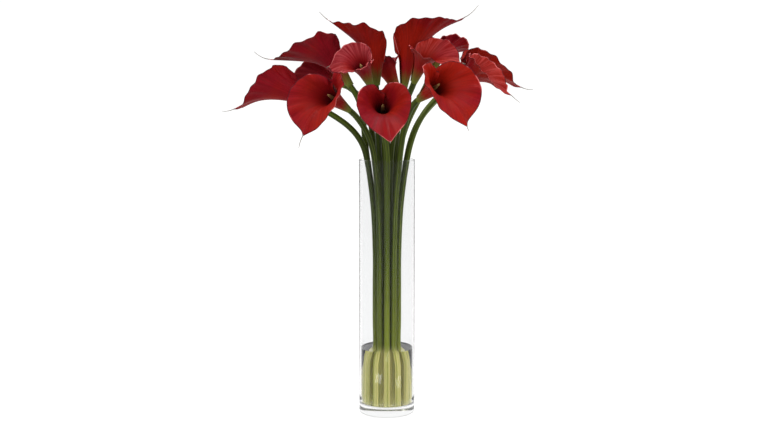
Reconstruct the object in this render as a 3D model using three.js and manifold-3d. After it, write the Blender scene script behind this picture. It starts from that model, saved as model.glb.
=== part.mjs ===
// Calla lilies standing in a tall glass cylinder vase with water in the bottom.
// Millimetres, +Z up, origin at the middle of the underside of the vase's foot.
// +X is to the right and -Y is toward the front.
import * as THREE from "three";
import Module from "manifold-3d";

const wasm = await Module();
wasm.setup();

// Vase and water
const vaseDiameter = 100;
const vaseHeight = 460;
const wallThickness = 3;
const floorThickness = 18;
const footRounding = 5;
const lipRounding = 0.9;
const waterLevel = 119;
const roundSegments = 40;
const fitGap = 0.3;

// Stems
const stemDiameter = 10.5;
const stemSides = 8;
const stemSteps = 24;
const waistHeight = 290;
const rimClearance = 4.7;
const innerRimShare = 0.405;
const innerRingShare = 0.85;
const outerRingShare = 2.05;
const footSpread = 8;
const spreadDrop = 39;
const headReach = 0.36;
const rimReach = 0.42;

// Blooms
const bloomLength = 138;
const sheetThickness = 1.2;
const tubeAngle = 8;
const seamOverlap = 0.3;
const bloomGap = 0.6;
const aroundSteps = 18;
const alongSteps = 8;
const spadixClearance = 1.25;
const spadixShare = 0.43;
const tailDiameter = 1.4;
const tailSides = 6;
const tailSteps = 5;

// How the sheet's shape changes round the tube and along it. Widths round the tube are in radians,
// away from the tip or from the seam; places along the tube are shares of a bloom's length.
const pointWidth = 0.22;
const notchWidth = 0.3;
const curlWidth = 0.7;
const seamWidth = 0.8;
const seamFlareLoss = 0.25;
const rollAway = 0.35;
const rollStart = 0.8;
const tubeStart = 0.09;
const flareStart = 0.145;
const flareLength = 0.545;
const lapAtBase = 0.9;
const lapAtRim = 1.5;

// How a tail runs: its root inside the tip, then rises and sways as shares of its own length.
const tailRoot = 2.5;
const tailRise = 0.4;
const tailSway = 0.08;
const tailBend = 2.6;

// Usual shape of a bloom. Lengths are shares of its size, angles are in degrees.
// seam, body, point: length of the sheet at the seam, how long its body gets toward the tip, and
// the narrow point added there. side: how soon it shortens away from the tip. narrow: how much
// less it opens at the sides. curl and roll: bending back at the tip and along the rim. tail and
// tailLift: length of the thin tail in bloom lengths, and how far its end is lifted.
const usualShape = {
  seam: 0.52,
  body: 0.84,
  point: 0.16,
  side: 0.55,
  narrow: 0.1,
  curl: 30,
  roll: 45,
  curlStart: 0.55,
  notch: 0.05,
  turn: 0,
  tail: 0.08,
  tailLift: 0.5,
};

// One row per bloom. ring and place: where its stem stands in the vase, place in degrees turned
// from +X toward +Y. base: where the bloom starts, in bloom lengths from the middle of the vase's
// rim. lean: degrees from upright. bearing: the way it leans, turned as place is. turn: how far
// the tip is rolled round the bloom's own axis. scale: size against bloomLength. flare: degrees
// the sheet opens.
const blooms = [
  { name: "far_left", ring: "outer", place: 198, base: [-0.785, -0.01, 0.62], lean: 60,
    bearing: 180, turn: 12, scale: 1.14, flare: 30, curl: 30, body: 0.96, side: 0.44, point: 0.1,
    tail: 0.17, tailLift: 0.9 },
  { name: "left_front", ring: "outer", place: 234, base: [-0.48, -0.362, 0.645], lean: 66,
    bearing: 236, turn: 2, scale: 1.13, flare: 48, curl: 38, side: 0.5, point: 0.14, tail: 0.16,
    tailLift: 0 },
  { name: "left_high", ring: "outer", place: 162, base: [-0.47, 0.246, 0.93], lean: 37,
    bearing: 180, scale: 1.09, flare: 50, curl: 0, seam: 0.42, body: 0.98, side: 0.36, point: 0.08,
    tail: 0.18, tailLift: 1.2 },
  { name: "centre_left", ring: "inner", place: 205, base: [-0.22, -0.087, 0.957], lean: 44,
    bearing: 242, turn: -75, scale: 0.82, flare: 52, curl: 60, body: 0.77, point: 0.06, tail: 0.04 },
  { name: "top_left", ring: "inner", place: 115, base: [-0.14, 0.181, 0.94], lean: 4, bearing: 180,
    scale: 1.13, flare: 48, curl: 2, seam: 0.34, body: 0.91, side: 0.5, point: 0.06, tail: 0.11,
    tailLift: 0.5 },
  { name: "front", ring: "outer", place: 270, base: [-0.055, -0.449, 0.5], lean: 58, bearing: 270,
    turn: 6, scale: 0.97, flare: 44, curl: 30, seam: 0.62, body: 1, side: 0.9, point: 0.36,
    narrow: 0.38, notch: 0.12, tail: 0.02 },
  { name: "top_right", ring: "inner", place: 25, base: [0.22, 0.109, 0.9], lean: 7, bearing: 0,
    scale: 1.25, flare: 42, curl: 20, seam: 0.41, body: 0.92, side: 0.44, point: 0.08, tail: 0.18,
    tailLift: 1.2 },
  { name: "behind_centre", ring: "outer", place: 90, base: [0.152, 0.399, 0.812], lean: 30,
    bearing: 140, scale: 0.9, flare: 44, tail: 0.07 },
  { name: "right_middle", ring: "inner", place: 295, base: [0.34, -0.1, 0.98], lean: 36,
    bearing: 300, turn: 25, scale: 0.9, flare: 48, tail: 0.04 },
  { name: "right_back", ring: "outer", place: 54, base: [0.6, 0.551, 1.12], lean: 32, bearing: 50,
    scale: 0.82, flare: 44, tail: 0.07 },
  { name: "far_right", ring: "outer", place: 18, base: [0.73, 0.42, 0.82], lean: 49, bearing: 6,
    scale: 1.12, flare: 44, curl: 27, body: 0.9, side: 0.48, point: 0.1, tail: 0.17, tailLift: 0.9 },
  { name: "right_low", ring: "outer", place: 342, base: [0.745, -0.058, 0.87], lean: 56,
    bearing: 335, scale: 0.97, flare: 44, side: 0.45, point: 0.13, tail: 0.14, tailLift: 0.1 },
  { name: "right_front", ring: "outer", place: 306, base: [0.385, -0.42, 0.77], lean: 66,
    bearing: 303, scale: 1.15, flare: 50, side: 0.5, tail: 0.06, tailLift: 0 },
  { name: "left_back", ring: "outer", place: 126, base: [-0.53, 0.56, 0.93], lean: 62,
    bearing: 165, scale: 0.92, flare: 42, curl: 40, tail: 0.07 },
].map((bloom) => ({ ...usualShape, ...bloom }));

const stemRadius = stemDiameter / 2;
const innerRadius = vaseDiameter / 2 - wallThickness;
const rings = {
  inner: {
    waist: stemDiameter * innerRingShare,
    rim: (innerRadius - stemRadius - rimClearance) * innerRimShare,
    spread: footSpread * innerRimShare,
  },
  outer: {
    waist: stemDiameter * outerRingShare,
    rim: innerRadius - stemRadius - rimClearance,
    spread: footSpread,
  },
};

function smooth(value) {
  const held = Math.min(1, Math.max(0, value));
  return held * held * (3 - 2 * held);
}

function placeAround(radius, place) {
  const angle = THREE.MathUtils.degToRad(place);
  return new THREE.Vector2(radius * Math.cos(angle), radius * Math.sin(angle));
}

// The bloom's own frame: z up its tube, x toward its tip.
function bloomFrame(bloom) {
  const lean = THREE.MathUtils.degToRad(bloom.lean);
  const way = placeAround(1, bloom.bearing);
  const axis = new THREE.Vector3(way.x * Math.sin(lean), way.y * Math.sin(lean), Math.cos(lean));
  const outward = new THREE.Vector3(way.x * Math.cos(lean), way.y * Math.cos(lean), -Math.sin(lean));
  const matrix = new THREE.Matrix4().makeBasis(outward, axis.clone().cross(outward), axis);
  matrix.multiply(new THREE.Matrix4().makeRotationZ(THREE.MathUtils.degToRad(bloom.turn)));
  const [x, y, z] = bloom.base.map((share) => share * bloomLength);
  return matrix.setPosition(x, y, vaseHeight + z);
}

// Middle line of a stem: from the vase's floor, where the ends stand spread, in to the bundle just
// under the water's surface, up to the waist, out to the rim, then over to the bloom.
function stemPath(bloom) {
  const waist = placeAround(rings[bloom.ring].waist, bloom.place);
  const atRim = placeAround(rings[bloom.ring].rim, bloom.place);
  const bottom = floorThickness + fitGap;
  const points = [];
  const footHeights = [0, 0.5, 1].map((share) => bottom + (waterLevel - spreadDrop - bottom) * share);
  const bundleHeights = [0, 0.33, 0.67, 1].map((share) => waterLevel + (waistHeight - waterLevel) * share);
  for (const height of [...footHeights, waterLevel - spreadDrop / 2, ...bundleHeights]) {
    const down = smooth((waterLevel - height) / spreadDrop);
    const spot = placeAround(rings[bloom.ring].waist + rings[bloom.ring].spread * down, bloom.place);
    points.push(new THREE.Vector3(spot.x, spot.y, height));
  }
  for (const share of [0.5, 1]) {
    const out = waist.clone().lerp(atRim, share * share);
    points.push(new THREE.Vector3(out.x, out.y, waistHeight + (vaseHeight - waistHeight) * share));
  }
  const rim = points[points.length - 1];
  const spread = atRim.clone().sub(waist).multiplyScalar(2 / (vaseHeight - waistHeight));
  const rimAim = new THREE.Vector3(spread.x, spread.y, 1).normalize();
  const frame = bloomFrame(bloom);
  const head = new THREE.Vector3().setFromMatrixPosition(frame);
  const axis = new THREE.Vector3(0, 0, 1).transformDirection(frame);
  const distance = rim.distanceTo(head);
  const over = new THREE.CubicBezierCurve3(
    rim,
    rim.clone().addScaledVector(rimAim, distance * rimReach),
    head.clone().addScaledVector(axis, -distance * headReach),
    head);
  for (const share of [0.2, 0.4, 0.6, 0.8, 0.95, 1]) points.push(over.getPoint(share));
  return new THREE.CatmullRomCurve3(points, false, "centripetal");
}

function ringShape(radius, sides) {
  const outline = [];
  for (let i = 0; i < sides; i++) outline.push(placeAround(radius, (i * 360) / sides));
  return new THREE.Shape(outline);
}

function stemGeometry(bloom, radius) {
  return new THREE.ExtrudeGeometry(ringShape(radius, stemSides), {
    steps: stemSteps,
    extrudePath: stemPath(bloom),
    bevelEnabled: false,
  });
}

// Length of the sheet from its base to its rim. angle is taken round the tube, 0 at the tip.
function sheetLength(bloom, angle) {
  const fold = Math.min(Math.abs(angle), Math.PI);
  const toTip = Math.pow(0.5 + 0.5 * Math.cos(fold), bloom.side);
  const atSeam = Math.exp(-(((Math.PI - fold) / notchWidth) ** 2));
  const share = bloom.seam + (bloom.body - bloom.seam) * toTip
    + bloom.point * Math.exp(-fold / pointWidth) - bloom.notch * atSeam;
  return bloomLength * bloom.scale * share;
}

// Middle of the sheet in the bloom's own frame. share runs from 0 at the base to 1 at the rim.
function sheetPoint(bloom, angle, share) {
  const substeps = 24;
  const length = sheetLength(bloom, angle);
  const size = bloomLength * bloom.scale;
  const nearTip = Math.exp(-((angle / curlWidth) ** 2));
  const nearSeam = Math.exp(-(((Math.PI - Math.abs(angle)) / seamWidth) ** 2));
  const flare = bloom.flare * (1 - seamFlareLoss * nearSeam - bloom.narrow * Math.sin(angle) ** 2);
  const roll = bloom.roll * (rollAway + (1 - rollAway) * nearSeam) * (1 - nearTip);
  let radius = stemRadius + fitGap + sheetThickness / 2;
  let height = bloomGap;
  for (let i = 0; i < substeps; i++) {
    const part = ((i + 0.5) / substeps) * share;
    const along = (part * length) / size;
    const tilt = THREE.MathUtils.degToRad(
      tubeAngle * smooth(along / tubeStart)
      + (flare - tubeAngle) * smooth((along - flareStart) / flareLength)
      + bloom.curl * nearTip * smooth((part - bloom.curlStart) / (1 - bloom.curlStart))
      + roll * smooth((part - rollStart) / (1 - rollStart)));
    radius += (Math.sin(tilt) * length * share) / substeps;
    height += (Math.cos(tilt) * length * share) / substeps;
  }
  radius += (angle / Math.PI) ** 5 * (sheetThickness * lapAtBase + share * lapAtRim);
  return new THREE.Vector3(radius * Math.cos(angle), radius * Math.sin(angle), height);
}

function sheetNormal(bloom, angle, share) {
  const step = 0.02;
  const around = sheetPoint(bloom, angle + step, share).sub(sheetPoint(bloom, angle - step, share));
  const along = sheetPoint(bloom, angle, Math.min(1, share + step))
    .sub(sheetPoint(bloom, angle, Math.max(0, share - step)));
  return around.cross(along).normalize();
}

// One sheet rolled round on itself: an outer and an inner skin joined along all four edges.
function spatheGeometry(bloom) {
  const columns = aroundSteps + 1;
  const positions = [];
  for (const side of [0.5, -0.5])
    for (let j = 0; j <= alongSteps; j++)
      for (let i = 0; i <= aroundSteps; i++) {
        const spot = (2 * i) / aroundSteps - 1;
        const angle = (Math.PI + seamOverlap) * (0.6 * spot + 0.4 * spot ** 3);
        const share = (j / alongSteps) ** 0.9;
        const point = sheetPoint(bloom, angle, share)
          .addScaledVector(sheetNormal(bloom, angle, share), side * sheetThickness);
        positions.push(point.x, point.y, point.z);
      }
  const layer = columns * (alongSteps + 1);
  const indices = [];
  const quad = (a, b, c, d) => indices.push(a, b, c, a, c, d);
  const at = (i, j) => j * columns + i;
  for (let j = 0; j < alongSteps; j++)
    for (let i = 0; i < aroundSteps; i++) {
      quad(at(i, j), at(i + 1, j), at(i + 1, j + 1), at(i, j + 1));
      quad(layer + at(i, j), layer + at(i, j + 1), layer + at(i + 1, j + 1), layer + at(i + 1, j));
    }
  const edge = [];
  for (let i = 0; i < aroundSteps; i++) edge.push(at(i, 0));
  for (let j = 0; j < alongSteps; j++) edge.push(at(aroundSteps, j));
  for (let i = aroundSteps; i > 0; i--) edge.push(at(i, alongSteps));
  for (let j = alongSteps; j > 0; j--) edge.push(at(0, j));
  edge.forEach((a, n) => {
    const b = edge[(n + 1) % edge.length];
    quad(b, a, layer + a, layer + b);
  });
  const geometry = new THREE.BufferGeometry();
  geometry.setAttribute("position", new THREE.Float32BufferAttribute(positions, 3));
  geometry.setIndex(indices);
  return geometry;
}

// The thin dried tail that grows out of the tip.
function tailGeometry(bloom, frame) {
  const tip = sheetPoint(bloom, 0, 1);
  const ahead = tip.clone().sub(sheetPoint(bloom, 0, 1 - 1 / alongSteps)).normalize();
  const up = new THREE.Vector3(0, 0, 1).transformDirection(frame.clone().invert());
  const sway = ahead.clone().cross(up).normalize();
  const length = bloom.tail * bloomLength;
  const points = [0, 0.35, 0.7, 1].map((share) => tip.clone()
    .addScaledVector(ahead, share * length - (1 - share) * tailRoot)
    .addScaledVector(up, bloom.tailLift * length * tailRise * share * share)
    .addScaledVector(sway, Math.sin(share * tailBend) * length * tailSway));
  return new THREE.ExtrudeGeometry(ringShape(tailDiameter / 2, tailSides), {
    steps: tailSteps,
    extrudePath: new THREE.CatmullRomCurve3(points, false, "centripetal"),
    bevelEnabled: false,
  });
}

function latheUp(profile, segments) {
  const geometry = new THREE.LatheGeometry(profile.map(([r, z]) => new THREE.Vector2(r, z)), segments);
  return geometry.rotateX(Math.PI / 2);
}

function spadixGeometry(bloom) {
  const radius = stemRadius - spadixClearance;
  const length = bloomLength * bloom.scale * spadixShare;
  const finger = latheUp([
    [0, 0],
    [radius * 0.7, 0],
    [radius, length * 0.2],
    [radius * 0.9, length * 0.7],
    [radius * 0.5, length * 0.94],
    [0, length],
  ], 8);
  return finger.translate(0, 0, bloomGap);
}

function vaseGeometry() {
  const outer = vaseDiameter / 2;
  return latheUp([
    [0, 0],
    [outer - footRounding, 0],
    [outer - footRounding * 0.3, footRounding * 0.3],
    [outer, footRounding],
    [outer, vaseHeight - lipRounding],
    [outer - lipRounding, vaseHeight],
    [innerRadius + lipRounding, vaseHeight],
    [innerRadius, vaseHeight - lipRounding],
    [innerRadius, floorThickness + footRounding],
    [innerRadius - footRounding, floorThickness],
    [0, floorThickness],
  ], roundSegments);
}

function solidOf(geometry) {
  const plain = geometry.index ? geometry.toNonIndexed() : geometry;
  const mesh = new wasm.Mesh({
    numProp: 3,
    vertProperties: new Float32Array(plain.attributes.position.array),
    triVerts: Uint32Array.from({ length: plain.attributes.position.count }, (_, i) => i),
  });
  mesh.merge();
  return new wasm.Manifold(mesh);
}

function geometryOf(solid) {
  const mesh = solid.getMesh();
  const geometry = new THREE.BufferGeometry();
  geometry.setAttribute("position", new THREE.Float32BufferAttribute(mesh.vertProperties, 3));
  geometry.setIndex(new THREE.BufferAttribute(mesh.triVerts, 1));
  return geometry;
}

// The water fills the bottom of the vase, with a way through it for each stem.
function waterGeometry() {
  const radius = innerRadius - fitGap;
  const bottom = floorThickness + fitGap;
  let water = solidOf(latheUp([
    [0, bottom],
    [radius - footRounding, bottom],
    [radius, bottom + footRounding],
    [radius, waterLevel],
    [0, waterLevel],
  ], roundSegments));
  for (const bloom of blooms) water = water.subtract(solidOf(stemGeometry(bloom, stemRadius + fitGap)));
  return geometryOf(water);
}

const glassLook = { color: "#e6efea", roughness: 0.05, metalness: 0, transparent: true, opacity: 0.35 };
const waterLook = { color: "#dfe8c0", roughness: 0.05, metalness: 0, transparent: true, opacity: 0.4 };
const stemLook = { color: "#4c6a22", roughness: 0.5, metalness: 0 };
const spatheLook = { color: "#a3121a", roughness: 0.5, metalness: 0 };
const spadixLook = { color: "#b9a06a", roughness: 0.7, metalness: 0 };

const lilies = new THREE.Group();

function add(name, geometry, look, frame) {
  const mesh = new THREE.Mesh(geometry, new THREE.MeshStandardMaterial(look));
  mesh.name = name;
  if (frame) frame.decompose(mesh.position, mesh.quaternion, mesh.scale);
  lilies.add(mesh);
}

add("vase", vaseGeometry(), glassLook);
add("water", waterGeometry(), waterLook);
for (const bloom of blooms) {
  const frame = bloomFrame(bloom);
  add("stem_" + bloom.name, stemGeometry(bloom, stemRadius), stemLook);
  const spathe = solidOf(spatheGeometry(bloom)).add(solidOf(tailGeometry(bloom, frame)));
  add("spathe_" + bloom.name, geometryOf(spathe), spatheLook, frame);
  add("spadix_" + bloom.name, spadixGeometry(bloom), spadixLook, frame);
}

export default lilies;
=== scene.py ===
import math

import bpy
import numpy as np
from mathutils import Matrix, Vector


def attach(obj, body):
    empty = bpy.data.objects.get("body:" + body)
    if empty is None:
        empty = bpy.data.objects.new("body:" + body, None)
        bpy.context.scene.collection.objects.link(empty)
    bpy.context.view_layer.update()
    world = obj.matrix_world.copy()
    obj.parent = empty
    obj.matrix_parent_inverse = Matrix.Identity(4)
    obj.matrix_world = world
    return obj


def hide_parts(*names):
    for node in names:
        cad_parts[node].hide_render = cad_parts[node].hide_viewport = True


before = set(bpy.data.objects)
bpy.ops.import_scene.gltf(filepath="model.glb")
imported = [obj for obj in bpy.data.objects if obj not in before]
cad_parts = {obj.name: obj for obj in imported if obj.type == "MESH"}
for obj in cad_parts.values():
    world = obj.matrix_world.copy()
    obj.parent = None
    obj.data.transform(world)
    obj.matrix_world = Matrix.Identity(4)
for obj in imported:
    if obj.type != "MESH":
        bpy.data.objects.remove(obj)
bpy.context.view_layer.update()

mm = 0.001  # everything below is in metres once it is multiplied by this

# sizes that the vase, water, stems and blooms share
arrangement = {
    "vaseRadius": 50 * mm,
    "vaseHeight": 460 * mm,
    "wall": 3 * mm,
    "floor": 18 * mm,
    "waterLevel": 119 * mm,
    "stemRadius": 5.25 * mm,
    "gap": 0.3 * mm,
}
innerRadius = arrangement["vaseRadius"] - arrangement["wall"]


# small helpers for shapes
def smoothStep(value):
    held = np.clip(value, 0, 1)
    return held * held * (3 - 2 * held)


def bellOf(distance, width):
    return np.exp(-((distance / width) ** 2))


def unitOf(vector):
    return vector / max(np.linalg.norm(vector), 1e-6)


def placeAround(radius, degrees):
    angle = math.radians(degrees)
    return np.array([radius * math.cos(angle), radius * math.sin(angle)])


def makePiece(name, points, faces, marks=None, materials=(), picks=None):
    mesh = bpy.data.meshes.new(name)
    mesh.from_pydata([tuple(p) for p in points], [], [tuple(f) for f in faces])
    for markName, values in (marks or {}).items():
        mark = mesh.attributes.new(markName, "FLOAT_VECTOR", "POINT")
        mark.data.foreach_set("vector", np.asarray(values, dtype=np.float32).ravel())
    for material in materials:
        mesh.materials.append(material)
    if picks is not None:
        mesh.polygons.foreach_set("material_index", np.asarray(picks, dtype=np.int32))
    mesh.polygons.foreach_set("use_smooth", np.ones(len(mesh.polygons), dtype=bool))
    mesh.update()
    piece = bpy.data.objects.new(name, mesh)
    bpy.context.collection.objects.link(piece)
    return piece


def turned(name, profile, segments, material):
    # a profile of (radius, height) turned round the vase's axis, its ends closed on the axis
    points, faces, rings = [], [], []
    for radius, height in profile:
        if radius == 0:
            rings.append([len(points)])
            points.append((0, 0, height))
            continue
        rings.append(list(range(len(points), len(points) + segments)))
        for k in range(segments):
            angle = 2 * math.pi * k / segments
            points.append((radius * math.cos(angle), radius * math.sin(angle), height))
    for low, high in zip(rings, rings[1:]):
        for k in range(segments):
            n = (k + 1) % segments
            if len(low) == 1:
                faces.append((low[0], high[n], high[k]))
            elif len(high) == 1:
                faces.append((low[k], low[n], high[0]))
            else:
                faces.append((low[k], low[n], high[n], high[k]))
    return makePiece(name, points, faces, materials=[material])


def arc(centreR, centreZ, radius, start, end, steps):
    turns = np.radians(np.linspace(start, end, steps + 1))
    return [(centreR + radius * math.cos(t), centreZ + radius * math.sin(t)) for t in turns]


def tubeFaces(rings, sides):
    # quads between the rings, which start at the first point, and both ends closed
    faces = []
    for k in range(rings - 1):
        for s in range(sides):
            n = (s + 1) % sides
            a, b = k * sides, (k + 1) * sides
            faces.append((a + s, a + n, b + n, b + s))
    faces.append(tuple(reversed(range(sides))))
    faces.append(tuple(range((rings - 1) * sides, rings * sides)))
    return faces


def lengthsAlong(path):
    return np.concatenate([[0], np.cumsum(np.linalg.norm(np.diff(path, axis=0), axis=1))])


def sweep(path, radii, sides, ribs=None):
    # rings carried along a path without twisting; each point's mark is its turn and length
    path = np.asarray(path)
    tangents = np.gradient(path, axis=0)
    tangents /= np.linalg.norm(tangents, axis=1)[:, None]
    side = np.cross(tangents[0], [0.0, 1.0, 0.0])
    side /= np.linalg.norm(side)
    lengths = lengthsAlong(path)
    points, marks = [], []
    for k, centre in enumerate(path):
        side = side - tangents[k] * side.dot(tangents[k])
        side /= np.linalg.norm(side)
        other = np.cross(tangents[k], side)
        for s in range(sides):
            angle = 2 * math.pi * s / sides
            rib = 1 + (ribs(angle, lengths[k]) if ribs else 0)
            outward = side * math.cos(angle) + other * math.sin(angle)
            points.append(centre + outward * radii[k] * rib)
            marks.append((math.cos(angle), math.sin(angle), lengths[k]))
    return points, tubeFaces(len(path), sides), marks


def throughPoints(points, steps):
    # a smooth line through the points, spaced by the square root of their distances
    points = [np.asarray(p, dtype=float) for p in points]
    held = [2 * points[0] - points[1], *points, 2 * points[-1] - points[-2]]
    line = []
    for k in range(len(points) - 1):
        a, b, c, d = held[k:k + 4]
        ta, tb, tc = (math.sqrt(np.linalg.norm(q - p)) for p, q in ((a, b), (b, c), (c, d)))
        leave = ((b - a) / ta - (c - a) / (ta + tb) + (c - b) / tb) * tb
        arrive = ((c - b) / tb - (d - b) / (tb + tc) + (d - c) / tc) * tb
        for u in np.arange(steps) / steps:
            line.append(b + leave * u + (3 * (c - b) - 2 * leave - arrive) * u ** 2
                        + (leave + arrive - 2 * (c - b)) * u ** 3)
    line.append(points[-1])
    return np.array(line)


# small helpers for materials
def newMaterial(name):
    material = bpy.data.materials.new(name)
    material.use_nodes = True
    material.node_tree.nodes.clear()
    return material, material.node_tree


def put(tree, kind, inputs=None, **settings):
    made = tree.nodes.new(kind)
    for key, value in settings.items():
        setattr(made, key, value)
    for key, value in (inputs or {}).items():
        if isinstance(value, bpy.types.NodeSocket):
            tree.links.new(value, made.inputs[key])
        else:
            made.inputs[key].default_value = value
    return made


def combine(tree, kind, first, second):
    return put(tree, "ShaderNodeMath", {0: first, 1: second}, operation=kind).outputs[0]


def plus(tree, first, second):
    return combine(tree, "ADD", first, second)


def times(tree, first, second):
    return combine(tree, "MULTIPLY", first, second)


def minus(tree, first, second):
    return combine(tree, "SUBTRACT", first, second)


def blendColour(tree, factor, first, second):
    made = put(tree, "ShaderNodeMix", {0: factor}, data_type="RGBA")
    for slot, value in ((6, first), (7, second)):
        if isinstance(value, bpy.types.NodeSocket):
            tree.links.new(value, made.inputs[slot])
        else:
            made.inputs[slot].default_value = (*value, 1)
    return made.outputs[2]


def between(tree, value, low, high, toLow=0.0, toHigh=1.0):
    made = put(tree, "ShaderNodeMapRange", {
        "Value": value, "From Min": low, "From Max": high, "To Min": toLow, "To Max": toHigh},
        interpolation_type="SMOOTHSTEP")
    return made.outputs["Result"]


def noiseOf(tree, vector, scale, detail=3.0, roughness=0.55):
    made = put(tree, "ShaderNodeTexNoise",
               {"Vector": vector, "Scale": scale, "Detail": detail, "Roughness": roughness})
    return made.outputs["Fac"]


def stretched(tree, vector, scales):
    made = put(tree, "ShaderNodeVectorMath", {0: vector, 1: scales}, operation="MULTIPLY")
    return made.outputs[0]


def markOf(tree, name):
    return put(tree, "ShaderNodeAttribute", attribute_name=name).outputs["Vector"]


def splitOf(tree, vector):
    return put(tree, "ShaderNodeSeparateXYZ", {0: vector}).outputs


def objectSpot(tree):
    return put(tree, "ShaderNodeTexCoord").outputs["Object"]


def bumpOf(tree, height, strength, distance, under=None):
    inputs = {"Strength": strength, "Distance": distance, "Height": height}
    if under is not None:
        inputs["Normal"] = under
    return put(tree, "ShaderNodeBump", inputs).outputs[0]


def skinOf(tree, colour, roughness, normal, gloss):
    skin = put(tree, "ShaderNodeBsdfPrincipled", {
        "Base Color": colour, "Roughness": roughness, "Normal": normal, "Specular IOR Level": gloss})
    put(tree, "ShaderNodeOutputMaterial", {"Surface": skin.outputs[0]})


# the shape that all blooms share; angles round the sheet are in radians, the others in degrees
bloomShape = {
    "length": 138 * mm,
    "sheet": 1.2 * mm,
    "start": 0.6 * mm,
    "tubeAngle": 8,
    "tubeEnd": 0.09,  # this and the two below are shares of the bloom's size, up from its base
    "flareStart": 0.145,
    "flareSpan": 0.545,
    "rollStart": 0.8,
    "rollAtTip": 0.35,
    "stiffSeam": 0.25,
    "pointWidth": 0.15,
    "notchWidth": 0.3,
    "tipWidth": 0.7,
    "seamWidth": 0.8,
    "overlap": 0.3,
    "lapGap": 0.9,  # in sheet thicknesses at the base, opening by the next one toward the rim
    "lapOpening": 1.5 * mm,
    "hug": 1.1 * mm,
    "hugReach": 7 * mm,
    "around": 120,
    "along": 44,
    "substeps": 24,
}
# each bloom's sheen amount sets how strong the painted pale-pink sheen on its lip and rim is
usualBloom = dict(seam=0.52, body=0.84, point=0.16, side=0.55, narrow=0.1, curl=30, roll=45,
                  curlStart=0.55, notch=0.05, turn=0, warm=0.5, paintedSheen=0.0, wave=1.0,
                  tail=0.08, tailLift=0.5)
# one row for each bloom, its base in bloom lengths from the middle of the vase's rim
bloomRows = [
    dict(name="far_left", ring="outer", place=198, base=(-0.785, -0.01, 0.62), lean=60, bearing=180,
         turn=12, scale=1.14, flare=30, curl=30, body=0.96, side=0.44, point=0.1, warm=0.3,
         tail=0.17, tailLift=0.9, wave=1.5),
    dict(name="left_front", ring="outer", place=234, base=(-0.48, -0.362, 0.645), lean=66,
         bearing=236, turn=2, scale=1.13, flare=48, curl=38, side=0.5, point=0.14, warm=0.45,
         tail=0.16, tailLift=0.0, wave=1.2),
    dict(name="left_high", ring="outer", place=162, base=(-0.47, 0.246, 0.93), lean=37,
         bearing=180, scale=1.09, flare=50, curl=0, seam=0.42, body=0.98, side=0.36, point=0.08,
         warm=0.3, tail=0.18, tailLift=1.2, wave=1.7),
    dict(name="centre_left", ring="inner", place=205, base=(-0.22, -0.087, 0.957), lean=44,
         bearing=242, turn=-75, scale=0.82, flare=52, curl=60, body=0.77, point=0.06, warm=0.15,
         paintedSheen=0.45, tail=0.04),
    dict(name="top_left", ring="inner", place=115, base=(-0.14, 0.181, 0.94), lean=4, bearing=180,
         scale=1.13, flare=48, curl=2, seam=0.34, body=0.91, side=0.5, point=0.06, warm=0.7,
         tail=0.11, tailLift=0.5, wave=1.6),
    dict(name="front", ring="outer", place=270, base=(-0.055, -0.449, 0.5), lean=58, bearing=270,
         turn=6, scale=0.97, flare=44, curl=30, seam=0.62, body=1.0, side=0.9, point=0.36,
         narrow=0.38, notch=0.12, warm=0.45, tail=0.02, wave=0.5),
    dict(name="top_right", ring="inner", place=25, base=(0.22, 0.109, 0.9), lean=7, bearing=0,
         scale=1.25, flare=42, curl=20, seam=0.41, body=0.92, side=0.44, point=0.08, warm=0.6,
         tail=0.18, tailLift=1.2, wave=1.4),
    dict(name="behind_centre", ring="outer", place=90, base=(0.152, 0.399, 0.812), lean=30,
         bearing=140, scale=0.9, flare=44, warm=0.4, tail=0.07),
    dict(name="right_middle", ring="inner", place=295, base=(0.34, -0.1, 0.98), lean=36,
         bearing=300, turn=25, scale=0.9, flare=48, warm=0.75, paintedSheen=0.35, tail=0.04),
    dict(name="right_back", ring="outer", place=54, base=(0.6, 0.551, 1.12), lean=32, bearing=50,
         scale=0.82, flare=44, warm=0.3, paintedSheen=0.6, tail=0.07, wave=1.3),
    dict(name="far_right", ring="outer", place=18, base=(0.73, 0.42, 0.82), lean=49, bearing=6,
         scale=1.12, flare=44, curl=27, body=0.9, side=0.48, point=0.1, warm=0.8, paintedSheen=0.15,
         tail=0.17, tailLift=0.9, wave=1.5),
    dict(name="right_low", ring="outer", place=342, base=(0.745, -0.058, 0.87), lean=56,
         bearing=335, scale=0.97, flare=44, side=0.45, point=0.13, warm=0.8, paintedSheen=0.3, tail=0.14,
         tailLift=0.1, wave=1.4),
    dict(name="right_front", ring="outer", place=306, base=(0.385, -0.42, 0.77), lean=66,
         bearing=303, scale=1.15, flare=50, side=0.5, warm=0.7, tail=0.06, tailLift=0.0),
    dict(name="left_back", ring="outer", place=126, base=(-0.53, 0.56, 0.93), lean=62, bearing=165,
         scale=0.92, flare=42, curl=40, warm=0.35, paintedSheen=0.3, tail=0.07),
]
blooms = [{**usualBloom, **row} for row in bloomRows]


def bloomFrame(bloom):
    # z up the tube, x toward the tip, and where the bloom starts
    lean, bearing = math.radians(bloom["lean"]), math.radians(bloom["bearing"])
    wayX, wayY = math.cos(bearing), math.sin(bearing)
    axis = np.array([wayX * math.sin(lean), wayY * math.sin(lean), math.cos(lean)])
    outward = np.array([wayX * math.cos(lean), wayY * math.cos(lean), -math.sin(lean)])
    side = np.cross(axis, outward)
    turn = math.radians(bloom["turn"])
    toTip = outward * math.cos(turn) + side * math.sin(turn)
    start = np.array(bloom["base"]) * bloomShape["length"]
    start[2] += arrangement["vaseHeight"]
    return toTip, np.cross(axis, toTip), axis, start


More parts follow.
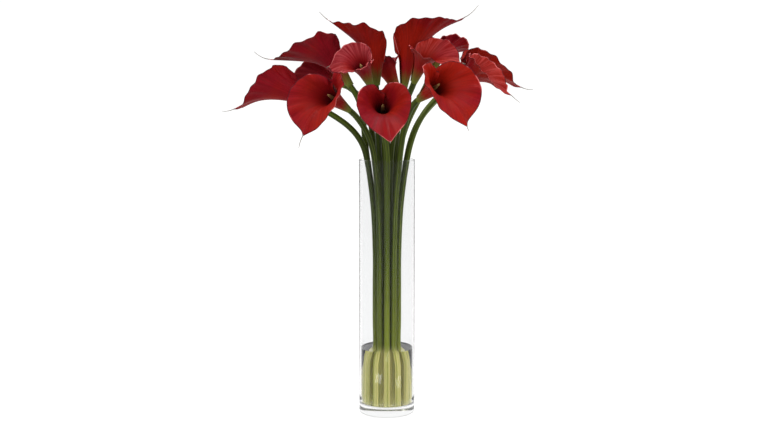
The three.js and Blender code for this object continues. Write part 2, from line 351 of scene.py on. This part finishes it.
def sheetLength(bloom, angle):
    fold = np.minimum(np.abs(angle), math.pi)
    toTip = (0.5 + 0.5 * np.cos(fold)) ** bloom["side"]
    atSeam = bellOf(math.pi - fold, bloomShape["notchWidth"])
    share = (bloom["seam"] + (bloom["body"] - bloom["seam"]) * toTip
             + bloom["point"] * np.exp(-fold / bloomShape["pointWidth"]) - bloom["notch"] * atSeam)
    return bloomShape["length"] * bloom["scale"] * share


def sheetMiddle(bloom, angle, share):
    # middle of the rolled sheet in the bloom's own frame; angle is 0 at the tip, share 0 at the base
    shape, substeps = bloomShape, bloomShape["substeps"]
    length = sheetLength(bloom, angle)
    size = shape["length"] * bloom["scale"]
    nearTip = bellOf(angle, shape["tipWidth"])
    nearSeam = bellOf(math.pi - np.abs(angle), shape["seamWidth"])
    narrowed = bloom["narrow"] * np.sin(angle) ** 2
    flare = bloom["flare"] * (1 - shape["stiffSeam"] * nearSeam - narrowed)
    roll = bloom["roll"] * (shape["rollAtTip"] + (1 - shape["rollAtTip"]) * nearSeam) * (1 - nearTip)
    tube = shape["tubeAngle"]
    tubeRadius = arrangement["stemRadius"] + arrangement["gap"] + shape["sheet"] / 2
    radius = np.full(angle.shape, tubeRadius)
    height = np.full(angle.shape, shape["start"])
    for i in range(substeps):
        part = (i + 0.5) / substeps * share
        along = part * length / size
        curled = smoothStep((part - bloom["curlStart"]) / (1 - bloom["curlStart"]))
        tilt = np.radians(
            tube * smoothStep(along / shape["tubeEnd"])
            + (flare - tube) * smoothStep((along - shape["flareStart"]) / shape["flareSpan"])
            + bloom["curl"] * nearTip * curled
            + roll * smoothStep((part - shape["rollStart"]) / (1 - shape["rollStart"])))
        radius = radius + np.sin(tilt) * length * share / substeps
        height = height + np.cos(tilt) * length * share / substeps
    lap = shape["sheet"] * shape["lapGap"] + share * shape["lapOpening"]
    radius = radius + (angle / math.pi) ** 5 * lap  # one edge inside, the other outside
    # the base closes in on the stem
    radius = radius - shape["hug"] * np.exp(-share * length / shape["hugReach"])
    return np.stack([radius * np.cos(angle), radius * np.sin(angle), height], axis=-1)


# colours and finish of the petals; pairs run from where a thing starts to where it is full
petalLook = {
    "crimson": (0.175, 0.0024, 0.0078),
    "warmRed": (0.235, 0.0065, 0.0020),
    # dark red of the vein lines, also used as painted shade down the throat
    "veinAndShadeDark": (0.030, 0.0012, 0.0006),
    # pale pink painted as sheen on the lip and as a highlight along the rim
    "paintedSheen": (0.55, 0.13, 0.13),
    "edge": (0.045, 0.004, 0.008),
    "green": (0.110, 0.135, 0.022),
    "olive": (0.120, 0.060, 0.012),
    "driftScale": 13.0,
    "driftStrength": 2.2,
    "driftBand": (0.1, 0.9),
    "veinScale": (34.0, 1.3, 3.0),
    "fineScale": (110.0, 2.2, 3.0),
    "veinBand": (0.38, 0.62),
    "veinShade": 0.30,
    "streakBand": (0.36, 0.66),
    # where the painted throat shade starts and ends along the sheet, and how strong it is
    "shadedThroat": (0.66, 0.20),  # as shares of the sheet's length
    "throatShade": 0.9,
    # where the painted lip sheen lies along the sheet, and how strong it is
    "lip": (0.55, 0.82),
    "lipSheen": 0.5,
    "oliveReach": (0.036, 0.016),  # in metres up from the base, as the green's
    "greenReach": (0.022, 0.002),
    "greenStreaks": 0.05,
    "rimWidth": (0.0022, 0.0006),
    "rimShade": 0.85,
    "rimScale": (4.5, 0.5, 1.0),
    # where along the rim the painted highlight shows
    "rimHighlightBand": (0.56, 0.64),
    "grainScale": 900.0,
    "roughness": (0.46, 0.62),
    "veinBump": 0.55,
    "veinHeight": 0.6 * mm,
    "grainBump": 0.25,
    "grainHeight": 0.2 * mm,
    "gloss": 0.05,
}
tailLook = {
    "dark": (0.10, 0.085, 0.070),
    "light": (0.24, 0.21, 0.17),
    "mottleScale": 600.0,
    "roughness": 0.6,
    "bump": 0.4,
    "gloss": 0.3,
}


def petalMaterial():
    look = petalLook
    material, tree = newMaterial("petalSatin")
    place = markOf(tree, "sheetPlace")
    reach = markOf(tree, "sheetReach")
    # the tone mark carries each bloom's own warmth and the strength of its painted sheen
    toneAndSheen = markOf(tree, "sheetToneAndSheen")
    share, inner = splitOf(tree, place)[1:3]
    fromBase, fromRim = splitOf(tree, reach)[0:2]
    warm, paintedSheen = splitOf(tree, toneAndSheen)[0:2]
    spot = objectSpot(tree)

    # broad drift between crimson and a warmer red
    drift = noiseOf(tree, spot, look["driftScale"], 2.0)
    drift = plus(tree, times(tree, minus(tree, drift, 0.5), look["driftStrength"]), warm)
    drift = between(tree, drift, *look["driftBand"])
    colour = blendColour(tree, drift, look["crimson"], look["warmRed"])

    # veins run from the base to the rim
    veins = noiseOf(tree, stretched(tree, place, look["veinScale"]), 1.0, 3.0, 0.6)
    fine = noiseOf(tree, stretched(tree, place, look["fineScale"]), 1.0, 2.0, 0.5)
    lines = plus(tree, times(tree, veins, 0.6), times(tree, fine, 0.4))
    hollows = between(tree, lines, *look["veinBand"], look["veinShade"], 0.0)
    colour = blendColour(tree, hollows, colour, look["veinAndShadeDark"])

    # painted shade down the throat, inside only
    shadedThroat = times(tree, between(tree, share, *look["shadedThroat"]), inner)
    colour = blendColour(tree, times(tree, shadedThroat, look["throatShade"]), colour, look["veinAndShadeDark"])

    # painted pale-pink sheen on the lip in streaks, on the blooms that have one
    streaks = times(tree, between(tree, veins, *look["streakBand"]), look["lipSheen"])
    lip = times(tree, between(tree, share, *look["lip"]), times(tree, paintedSheen, inner))
    colour = blendColour(tree, times(tree, lip, streaks), colour, look["paintedSheen"])

    # the green of the stem reaches up the tube in uneven streaks
    reachUp = plus(tree, fromBase, times(tree, minus(tree, veins, 0.5), look["greenStreaks"]))
    outside = minus(tree, 1.0, inner)
    olive = times(tree, between(tree, reachUp, *look["oliveReach"]), outside)
    green = times(tree, between(tree, reachUp, *look["greenReach"]), outside)
    colour = blendColour(tree, olive, colour, look["olive"])
    colour = blendColour(tree, green, colour, look["green"])

    # thin rim: dark along most of it, with a painted pale-pink highlight in patches
    rimNoise = noiseOf(tree, stretched(tree, place, look["rimScale"]), 1.0, 2.0)
    rimHighlight = between(tree, plus(tree, rimNoise, times(tree, paintedSheen, 0.25)), *look["rimHighlightBand"])
    rimColour = blendColour(tree, rimHighlight, look["edge"], look["paintedSheen"])
    rim = between(tree, fromRim, *look["rimWidth"])
    colour = blendColour(tree, times(tree, rim, look["rimShade"]), colour, rimColour)

    # soft satin, with the veins and a fine skin grain raised
    grain = noiseOf(tree, spot, look["grainScale"], 2.0)
    rough = between(tree, plus(tree, lines, times(tree, grain, 0.3)), 0.3, 1.0, *look["roughness"])
    raisedVeins = bumpOf(tree, lines, look["veinBump"], look["veinHeight"])
    raisedGrain = bumpOf(tree, grain, look["grainBump"], look["grainHeight"], raisedVeins)
    skinOf(tree, colour, rough, raisedGrain, look["gloss"])
    return material


def tailMaterial():
    look = tailLook
    material, tree = newMaterial("driedTail")
    mottle = noiseOf(tree, objectSpot(tree), look["mottleScale"], 2.0)
    colour = blendColour(tree, between(tree, mottle, 0.35, 0.65), look["dark"], look["light"])
    bump = bumpOf(tree, mottle, look["bump"], 0.2 * mm)
    skinOf(tree, colour, look["roughness"], bump, look["gloss"])
    return material


petalSatin = petalMaterial()
driedTail = tailMaterial()

# how each real spathe strays from the plain shape, and its dried tail
spatheShape = {
    "rimWave": 2.3 * mm,
    "waves": 9,
    "ripples": 17,
    "rippleShare": 0.45,
    "waveStart": 0.6,
    "slowBend": 1.6 * mm,
    "crease": 0.7 * mm,
    "creaseWidth": 0.07,
    "creaseStart": 0.2,
    "creaseSpan": 0.5,
    "tipWidth": 0.5,
    "tipCalm": 0.75,  # how much of the rim's wave is missing at the tip
    "rimThinning": 0.62,
    "thinFrom": 0.5,
    "rowCrowding": 0.9,
    "patternShift": 7.0,  # each bloom takes its own stretch of the vein pattern
}
tailShape = {
    "rings": 15,
    "sides": 7,
    "rootRadius": 0.8 * mm,
    "endRadius": 0.35 * mm,
    "root": 2.5 * mm,
    "rise": 0.4,
    "sway": 0.08,
    "bend": 2.6,
}


def sheetPush(bloom, angle, share, phases):
    # rim waves, a slow unevenness and a crease down to the tip
    shape = spatheShape
    nearTip = bellOf(angle, shape["tipWidth"])
    uneven = 0.6 + 0.4 * np.sin(2.3 * angle + phases[1])  # some waves stand higher than others
    rimWave = (np.sin(shape["waves"] * angle + phases[0]) * uneven
               + shape["rippleShare"] * np.sin(shape["ripples"] * angle + phases[2]))
    nearRim = smoothStep((share - shape["waveStart"]) / (1 - shape["waveStart"])) ** 1.5
    push = shape["rimWave"] * bloom["wave"] * rimWave * nearRim * (1 - shape["tipCalm"] * nearTip)
    push += shape["slowBend"] * np.sin(2 * angle + phases[3]) * share ** 2 * (1 - nearTip)
    creased = smoothStep((share - shape["creaseStart"]) / shape["creaseSpan"])
    push -= shape["crease"] * bellOf(angle, shape["creaseWidth"]) * creased
    return push


def sheetFaces(rows, columns):
    # both sides of the sheet and the edge all round it
    layer = rows * columns
    faces = []
    for j in range(rows - 1):
        for i in range(columns - 1):
            a = j * columns + i
            faces.append((a, a + 1, a + 1 + columns, a + columns))
            faces.append((layer + a, layer + a + columns, layer + a + 1 + columns, layer + a + 1))
    edge = list(range(columns - 1)) + [(j + 1) * columns - 1 for j in range(rows - 1)]
    edge += [(rows - 1) * columns + i for i in range(columns - 1, 0, -1)]
    edge += [j * columns for j in range(rows - 1, 0, -1)]
    for k, a in enumerate(edge):
        b = edge[(k + 1) % len(edge)]
        faces.append((b, a, layer + a, layer + b))
    return faces


def tailLine(bloom, tip, ahead, up):
    # grows out of the tip and swings in a slight S
    sway = unitOf(np.cross(ahead, up))
    length = bloom["tail"] * bloomShape["length"]
    path = []
    for t in np.arange(tailShape["rings"]) / (tailShape["rings"] - 1):
        path.append(tip + ahead * (t * length - (1 - t) * tailShape["root"])
                    + up * (bloom["tailLift"] * length * tailShape["rise"] * t * t)
                    + sway * (math.sin(t * tailShape["bend"]) * length * tailShape["sway"]))
    return path


def buildSpathe(bloom, index):
    toTip, side, axis, start = bloomFrame(bloom)
    draw = np.random.default_rng(100 + index)
    phases = draw.uniform(0, 2 * math.pi, 5)
    spots = np.linspace(-1, 1, bloomShape["around"] + 1)
    angles = (math.pi + bloomShape["overlap"]) * (0.5 * spots + 0.5 * spots ** 3)
    shares = (np.arange(bloomShape["along"] + 1) / bloomShape["along"]) ** spatheShape["rowCrowding"]
    angle, share = np.meshgrid(angles, shares)
    middle = sheetMiddle(bloom, angle, share)
    step = 0.01
    around = sheetMiddle(bloom, angle + step, share) - sheetMiddle(bloom, angle - step, share)
    along = (sheetMiddle(bloom, angle, np.minimum(1, share + step))
             - sheetMiddle(bloom, angle, np.maximum(0, share - step)))
    normal = np.cross(around, along)
    normal /= np.linalg.norm(normal, axis=-1)[..., None]
    middle = middle + normal * sheetPush(bloom, angle, share, phases)[..., None]
    thinned = smoothStep((share - spatheShape["thinFrom"]) / (1 - spatheShape["thinFrom"]))
    thickness = bloomShape["sheet"] * (1.0 - spatheShape["rimThinning"] * thinned)
    outer = middle + normal * (thickness / 2)[..., None]
    inner = middle - normal * (thickness / 2)[..., None]

    length = sheetLength(bloom, angle)
    none = np.zeros_like(share)
    roundSheet = angle / math.pi + index * spatheShape["patternShift"]
    outerPlace = np.stack([roundSheet, share, none], axis=-1)
    innerPlace = outerPlace.copy()
    innerPlace[..., 2] = 1
    reach = np.stack([share * length, (1 - share) * length, none], axis=-1)
    # each bloom's own warmth, and the strength of its painted sheen
    toneAndSheen = np.broadcast_to(np.array([bloom["warm"], bloom["paintedSheen"], 0.0]), outerPlace.shape)
    points = np.concatenate([outer.reshape(-1, 3), inner.reshape(-1, 3)])
    marks = {
        "sheetPlace": np.concatenate([outerPlace.reshape(-1, 3), innerPlace.reshape(-1, 3)]),
        "sheetReach": np.concatenate([reach.reshape(-1, 3)] * 2),
        "sheetToneAndSheen": np.concatenate([toneAndSheen.reshape(-1, 3)] * 2),
    }
    faces = sheetFaces(*share.shape)
    picks = [0] * len(faces)

    atTip = len(angles) // 2
    tip = middle[-1, atTip]
    ahead = unitOf(tip - middle[-4, atTip])
    up = np.linalg.inv(np.stack([toTip, side, axis], axis=1)) @ np.array([0.0, 0.0, 1.0])
    tailRadii = np.linspace(tailShape["rootRadius"], tailShape["endRadius"], tailShape["rings"])
    tailPoints, tailFaces, _ = sweep(tailLine(bloom, tip, ahead, up), tailRadii, tailShape["sides"])
    faces += [tuple(v + len(points) for v in f) for f in tailFaces]
    picks += [1] * len(tailFaces)
    points = np.concatenate([points, np.array(tailPoints)])
    for key in marks:
        marks[key] = np.concatenate([marks[key], np.zeros((len(tailPoints), 3))])

    placed = start + points @ np.stack([toTip, side, axis])
    name = "spathe_" + bloom["name"]
    piece = makePiece("lily_" + name, placed, faces, marks, [petalSatin, driedTail], picks)
    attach(piece, "root")
    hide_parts(name)


for index, bloom in enumerate(blooms):
    buildSpathe(bloom, index)
print("spathes built:", len(blooms))

# stems stand in an inner and an outer ring, draw in to a waist and open out again to the rim
stemDiameter = 2 * arrangement["stemRadius"]
outerAtRim = innerRadius - arrangement["stemRadius"] - 4.7 * mm  # stays clear of the glass
stemShape = {
    "waist": {"inner": 0.85 * stemDiameter, "outer": 2.05 * stemDiameter},
    "rim": {"inner": 0.405 * outerAtRim, "outer": outerAtRim},
    "spread": {"inner": 3.24 * mm, "outer": 8 * mm},  # further out at the foot than at the waist
    "spreadDrop": 30 * mm,
    "waistHeight": 290 * mm,
    "headReach": 0.36,
    "rimReach": 0.42,
    "sides": 22,
    "intoTube": 3.5 * mm,
    "plug": 0.86,
    "slimness": 0.985,
    "unevenness": 0.025,
    "swellRate": 21,  # in radians to the metre, as the ribs' twists
    "swellFade": 80 * mm,
    "rib": 0.020,
    "ribs": 5,
    "ribTwist": 2.2,
    "fineRib": 0.012,
    "fineRibs": 9,
    "fineRibTwist": -1.4,
    "cutWear": 0.93,
    "patternShift": 5.0,
}
stemLook = {
    "dark": (0.014, 0.022, 0.0014),
    "green": (0.052, 0.078, 0.0042),
    "ridge": (0.175, 0.225, 0.026),
    "lower": (0.20, 0.235, 0.020),
    "blanched": (0.62, 0.56, 0.24),
    "cut": (0.70, 0.66, 0.42),
    "ribScale": (2.6, 2.6, 3.0),
    "fineScale": (11.0, 11.0, 6.0),
    "mottleScale": 60.0,
    "greenBand": (0.36, 0.60),
    "ridgeBand": (0.56, 0.70),
    "fineBand": (0.45, 0.70),
    "fineShade": 0.35,
    "streakBand": (0.40, 0.62),
    "streakShade": 0.75,
    "lowerHeights": (0.36, 0.12),  # heights in metres, from where it starts down to where it is full
    "lowerShade": 0.75,
    "wetHeights": (0.140, 0.112),
    "paintedBunchShade": 0.55,
    "roughness": (0.34, 0.48),
    "bump": 0.6,
    "bumpHeight": 0.7 * mm,
    "gloss": 0.12,
}


def stemLine(bloom):
    shape, ring, place = stemShape, bloom["ring"], bloom["place"]
    bottom = arrangement["floor"] + arrangement["gap"]
    top, waistHeight = arrangement["vaseHeight"], shape["waistHeight"]
    surface, drop = arrangement["waterLevel"], shape["spreadDrop"]
    waist = placeAround(shape["waist"][ring], place)
    atRim = placeAround(shape["rim"][ring], place)
    heights = [bottom + (surface - drop - bottom) * share for share in (0, 0.5, 1)]
    heights += [surface - drop / 2]
    heights += [surface + (waistHeight - surface) * share for share in (0, 0.33, 0.67, 1)]
    points = []
    for height in heights:
        down = float(smoothStep((surface - height) / drop))
        spot = placeAround(shape["waist"][ring] + shape["spread"][ring] * down, place)
        points.append([*spot, height])
    for share in (0.5, 1):
        spot = waist + (atRim - waist) * share * share
        points.append([*spot, waistHeight + (top - waistHeight) * share])
    rim = np.array(points[-1])
    aim = unitOf(np.array([*((atRim - waist) * 2 / (top - waistHeight)), 1.0]))
    _, _, axis, head = bloomFrame(bloom)
    distance = np.linalg.norm(head - rim)
    a = rim + aim * distance * shape["rimReach"]
    b = head - axis * distance * shape["headReach"]
    for t in (0.2, 0.4, 0.6, 0.8, 0.95, 1):
        s = 1 - t
        points.append(rim * s ** 3 + a * 3 * s * s * t + b * 3 * s * t * t + head * t ** 3)
    line = throughPoints(points, 12)
    inTube = [head + axis * shape["intoTube"] * k / 3 for k in (1, 2, 3)]
    return np.concatenate([line, inTube])


def stemMaterial():
    look = stemLook
    material, tree = newMaterial("stemSkin")
    place = markOf(tree, "stemPlace")
    height, endCut, shade = splitOf(tree, markOf(tree, "stemLevel"))[0:3]
    ribs = noiseOf(tree, stretched(tree, place, look["ribScale"]), 1.0, 3.0, 0.6)
    fine = noiseOf(tree, stretched(tree, place, look["fineScale"]), 1.0, 2.0, 0.6)
    mottle = noiseOf(tree, objectSpot(tree), look["mottleScale"], 3.0)

    # deep green in the hollows, lighter on the ribs, yellower low down, and painted shade inside the
    # bunch
    colour = blendColour(tree, between(tree, ribs, *look["greenBand"]), look["dark"], look["green"])
    colour = blendColour(tree, between(tree, ribs, *look["ridgeBand"]), colour, look["ridge"])
    thin = between(tree, fine, *look["fineBand"], 0.0, look["fineShade"])
    colour = blendColour(tree, thin, colour, look["ridge"])
    lower = between(tree, plus(tree, height, times(tree, mottle, 0.06)), *look["lowerHeights"])
    colour = blendColour(tree, times(tree, lower, look["lowerShade"]), colour, look["lower"])
    # painted shade on the stems inside the bunch
    colour = blendColour(tree, times(tree, shade, look["paintedBunchShade"]), colour, look["dark"])

    # blanched under water, with a paler cut end
    wet = between(tree, plus(tree, height, times(tree, fine, 0.02)), *look["wetHeights"])
    streaks = between(tree, ribs, *look["streakBand"], 0.0, look["streakShade"])
    blanched = blendColour(tree, streaks, look["blanched"], look["lower"])
    colour = blendColour(tree, wet, colour, blanched)
    colour = blendColour(tree, endCut, colour, look["cut"])

    lines = plus(tree, times(tree, ribs, 0.6), times(tree, fine, 0.4))
    rough = between(tree, mottle, 0.3, 0.7, *look["roughness"])
    skinOf(tree, colour, rough, bumpOf(tree, lines, look["bump"], look["bumpHeight"]), look["gloss"])
    return material


stemSkin = stemMaterial()


def buildStem(bloom, index):
    shape = stemShape
    draw = np.random.default_rng(300 + index)
    phases = draw.uniform(0, 2 * math.pi, 4)
    line = stemLine(bloom)
    line = np.concatenate([[line[0], line[0] + (line[1] - line[0]) * 0.06], line[1:]])
    lengths = lengthsAlong(line)
    toEnd = lengths[-1] - lengths
    radii = np.full(len(line), arrangement["stemRadius"] * shape["slimness"])
    swell = np.sin(lengths * shape["swellRate"] + phases[0]) * smoothStep(toEnd / shape["swellFade"])
    radii *= 1 + shape["unevenness"] * swell
    radii *= np.where(toEnd < shape["intoTube"], shape["plug"], 1.0)
    radii[0] *= shape["cutWear"]  # the cut end is a little worn off

    def ribs(angle, length):
        broad = math.sin(shape["ribs"] * angle + phases[1] + length * shape["ribTwist"])
        narrow = math.sin(shape["fineRibs"] * angle + phases[2] + length * shape["fineRibTwist"])
        return shape["rib"] * broad + shape["fineRib"] * narrow

    points, faces, marks = sweep(line, radii, shape["sides"], ribs)
    points, marks = np.array(points), np.array(marks)
    place = marks.copy()
    place[:, 2] = marks[:, 2] + index * shape["patternShift"]
    level = np.zeros_like(marks)
    level[:, 0] = points[:, 2]
    level[:, 1] = np.where(marks[:, 2] < 1e-6, 1.0, 0.0)
    # painted shade: full on the inner ring, inside the bunch, and a random amount on the outer ring
    level[:, 2] = draw.uniform(0.0, 1.0) if bloom["ring"] == "outer" else 1.0
    name = "stem_" + bloom["name"]
    marks = {"stemPlace": place, "stemLevel": level}
    piece = makePiece("lily_" + name, points, faces, marks, [stemSkin])
    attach(piece, "root")
    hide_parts(name)


for index, bloom in enumerate(blooms):
    buildStem(bloom, index)
print("stems built:", len(blooms))

# the pale finger in each throat, set with staggered rows of tiny florets
spadixShape = {
    "radius": 4 * mm,
    "share": 0.43,
    "around": 26,
    "along": 84,
    "grain": 0.22 * mm,
    "heights": [0, 0.2, 0.7, 0.94, 1],
    "widths": [0.72, 0.97, 0.88, 0.52, 0.12],
}
spadixLook = {
    # the yellow is painted light near the tip, the brown is painted shade down the body
    "light": (0.36, 0.24, 0.085),
    "paintedShadeBrown": (0.085, 0.032, 0.012),
    "dark": (0.040, 0.014, 0.006),
    "mottleScale": 260.0,
    "paintedLightReach": (0.66, 0.98),
    "roughness": 0.62,
    "bump": 0.5,
    "gloss": 0.3,
}


def spadixMaterial():
    look = spadixLook
    material, tree = newMaterial("spadixGrain")
    height, floret = splitOf(tree, markOf(tree, "fingerPlace"))[0:2]
    mottle = noiseOf(tree, objectSpot(tree), look["mottleScale"], 3.0)
    # painted light near the tip, fading into painted brown shade further down
    up = plus(tree, height, times(tree, minus(tree, mottle, 0.5), 0.3))
    colour = blendColour(tree, between(tree, up, *look["paintedLightReach"]), look["paintedShadeBrown"], look["light"])
    # painted shade in the grooves between the florets
    colour = blendColour(tree, between(tree, floret, 0.6, 0.1, 0.0, 0.7), colour, look["dark"])
    bump = bumpOf(tree, mottle, look["bump"], 0.3 * mm)
    skinOf(tree, colour, look["roughness"], bump, look["gloss"])
    return material


spadixGrain = spadixMaterial()


def buildSpadix(bloom):
    toTip, side, axis, start = bloomFrame(bloom)
    shape, around, along = spadixShape, spadixShape["around"], spadixShape["along"]
    length = bloomShape["length"] * bloom["scale"] * shape["share"]
    points, marks = [], []
    for j in range(along + 1):
        t = j / along
        body = np.interp(t, shape["heights"], shape["widths"])
        for i in range(around):
            angle = 2 * math.pi * (i + 0.5 * (j % 2)) / around
            floret = math.cos(around / 2 * angle) * (1 if j % 2 else -1)
            r = shape["radius"] * body + shape["grain"] * floret * min(1, (1 - t) * 8)
            z = bloomShape["start"] + stemShape["intoTube"] + t * (length - stemShape["intoTube"])
            points.append((r * math.cos(angle), r * math.sin(angle), z))
            marks.append((t, 0.5 + 0.5 * floret, 0))
    placed = start + np.array(points) @ np.stack([toTip, side, axis])
    name = "spadix_" + bloom["name"]
    piece = makePiece("lily_" + name, placed, tubeFaces(along + 1, around), {"fingerPlace": marks},
                      [spadixGrain])
    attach(piece, "root")
    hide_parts(name)


for bloom in blooms:
    buildSpadix(bloom)
print("spadices built:", len(blooms))

# the vase and its water, which climbs a little at the glass
vaseShape = {
    "foot": 5 * mm,
    "lip": 0.9 * mm,
    "segments": 128,
    "meniscus": 1.1 * mm,
    "meniscusReach": 1.6 * mm,
    "waterGap": 0.05 * mm,
}
glassLook = {
    "glass": (0.88, 0.883, 0.885, 1),
    "water": (0.94, 0.935, 0.78, 1),
    "shadow": (0.93, 0.94, 0.92, 1),
    "baseBend": 1.5,
    "wallBend": 1.2,  # the thin walls mirror little, so the stems behind them stay deep green
    "waterBend": 1.333,
    "glassWaviness": 0.6 * mm,
    "waterWaviness": 0.2 * mm,
    "rippleScale": 26.0,
    "rippleStretch": (1.0, 1.0, 0.25),
    "rippleBump": 0.3,
    "wallStart": (1.3, 1.8),  # in base thicknesses, where the base's bend turns to the wall's
}


def clearMaterial(name, colour, baseBend, wallBend, waviness):
    # clear stuff that lets lamplight and soft light straight through onto what stands inside it
    look = glassLook
    material, tree = newMaterial(name)
    spot = objectSpot(tree)
    ripple = noiseOf(tree, stretched(tree, spot, look["rippleStretch"]), look["rippleScale"], 1.0)
    low, high = (arrangement["floor"] * share for share in look["wallStart"])
    bend = between(tree, splitOf(tree, spot)[2], low, high, baseBend, wallBend)
    clear = put(tree, "ShaderNodeBsdfPrincipled", {
        "Base Color": colour, "Roughness": 0.0, "IOR": bend, "Transmission Weight": 1.0,
        "Normal": bumpOf(tree, ripple, look["rippleBump"], waviness)})
    through = put(tree, "ShaderNodeBsdfTransparent", {"Color": look["shadow"]})
    rays = put(tree, "ShaderNodeLightPath").outputs
    straight = combine(tree, "MAXIMUM", rays["Is Shadow Ray"], rays["Is Diffuse Ray"])
    mixed = put(tree, "ShaderNodeMixShader", {
        0: straight, 1: clear.outputs[0], 2: through.outputs[0]})
    put(tree, "ShaderNodeOutputMaterial", {"Surface": mixed.outputs[0]})
    return material


clearGlass = clearMaterial("clearGlass", glassLook["glass"], glassLook["baseBend"],
                           glassLook["wallBend"], glassLook["glassWaviness"])
clearWater = clearMaterial("clearWater", glassLook["water"], glassLook["waterBend"],
                           glassLook["waterBend"], glassLook["waterWaviness"])

outerR, foot, lip = arrangement["vaseRadius"], vaseShape["foot"], vaseShape["lip"]
vaseTop, vaseFloor = arrangement["vaseHeight"], arrangement["floor"]
vaseProfile = ([(0, 0)] + arc(outerR - foot, foot, foot, -90, 0, 10)
               + arc(outerR - lip, vaseTop - lip, lip, 0, 90, 6)
               + arc(innerRadius + lip, vaseTop - lip, lip, 90, 180, 6)
               + arc(innerRadius - foot, vaseFloor + foot, foot, 0, -90, 8)
               + [(0, vaseFloor)])
vase = turned("vase_glass", vaseProfile, vaseShape["segments"], clearGlass)
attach(vase, "root")
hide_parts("vase")

waterR, level = innerRadius - vaseShape["waterGap"], arrangement["waterLevel"]
waterFloor = vaseFloor + vaseShape["waterGap"]
climb = [(waterR - inward * mm,
          level + vaseShape["meniscus"] * math.exp(-inward * mm / vaseShape["meniscusReach"]))
         for inward in (0, 0.5, 1, 2, 3.5, 6, 10)]
waterProfile = ([(0, waterFloor)] + arc(waterR - foot, waterFloor + foot, foot, -90, 0, 8)
                + climb + [(0, level)])
water = turned("vase_water", waterProfile, vaseShape["segments"], clearWater)
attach(water, "root")
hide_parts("water")
print("vase and water built")

# floor, lights and camera
studio = {
    "floorSize": 80,
    "floorDrop": 0.3 * mm,
    "floorShades": ((0.14, 0.14, 0.14), (0.17, 0.17, 0.17)),
    "floorGlow": 0.93,
    "backdrop": 1.05,
    "frontRoom": 0.55,
    "roomTurn": (-0.35, 0.25),
    "cameraPlace": (-0.0124, -2.22, 0.615),
    "cameraTilt": 83.5,
    "lens": 59.21,
    "sensorWidth": 36,
    "lamps": [
        dict(name="keyLight", place=(-1.7, -1.9, 2.2), target=(0, 0, 0.5), size=1.4, power=62,
             colour=(0.98, 0.98, 1.0)),
        dict(name="fillLight", place=(1.9, -1.3, 1.3), target=(0, 0, 0.5), size=1.2, power=34,
             colour=(1.0, 0.98, 0.96)),
        dict(name="topLight", place=(0.1, 0.5, 2.4), target=(0, 0, 0.4), size=1.5, power=25,
             colour=(1.0, 1.0, 1.0)),
    ],
}


def hangLamp(row):
    lamp = bpy.data.lights.new(row["name"], "AREA")
    lamp.shape, lamp.size = "SQUARE", row["size"]
    lamp.energy, lamp.color = row["power"], row["colour"]
    holder = bpy.data.objects.new(row["name"], lamp)
    holder.location = row["place"]
    towards = Vector(row["target"]) - Vector(row["place"])
    holder.rotation_euler = towards.to_track_quat("-Z", "Y").to_euler()
    bpy.context.collection.objects.link(holder)


def floorMaterial():
    material, tree = newMaterial("studioFloor")
    colour = blendColour(tree, noiseOf(tree, objectSpot(tree), 3.0, 2.0), *studio["floorShades"])
    skin = put(tree, "ShaderNodeBsdfPrincipled", {
        "Base Color": colour, "Roughness": 0.8, "Specular IOR Level": 0.1,
        "Emission Color": (1, 1, 1, 1), "Emission Strength": studio["floorGlow"]})
    put(tree, "ShaderNodeOutputMaterial", {"Surface": skin.outputs[0]})
    return material


half, below = studio["floorSize"] / 2, -studio["floorDrop"]
floorPoints = [(x, y, below) for x, y in ((-half, -half), (half, -half), (half, half), (-half, half))]
studioFloor = makePiece("studio_floor", floorPoints, [(0, 1, 2, 3)], materials=[floorMaterial()])

# bright behind the vase, dimmer on the near side, so that the glass isn't veiled
room = bpy.data.worlds.new("studioWorld")
room.use_nodes = True
backing = room.node_tree.nodes["Background"]
skyWay = put(room.node_tree, "ShaderNodeTexCoord").outputs["Generated"]
skyLight = between(room.node_tree, splitOf(room.node_tree, skyWay)[1], *studio["roomTurn"],
                   studio["frontRoom"], studio["backdrop"])
room.node_tree.links.new(skyLight, backing.inputs["Strength"])
backing.inputs["Color"].default_value = (1, 1, 1, 1)
bpy.context.scene.world = room

for row in studio["lamps"]:
    hangLamp(row)

camera = bpy.data.objects.new("camera", bpy.data.cameras.new("camera"))
camera.data.lens = studio["lens"]
camera.data.sensor_width = studio["sensorWidth"]
camera.location = studio["cameraPlace"]
camera.rotation_euler = (math.radians(studio["cameraTilt"]), 0, 0)
bpy.context.collection.objects.link(camera)
bpy.context.scene.camera = camera
bpy.context.scene.view_settings.view_transform = "Standard"
print("studio ready")
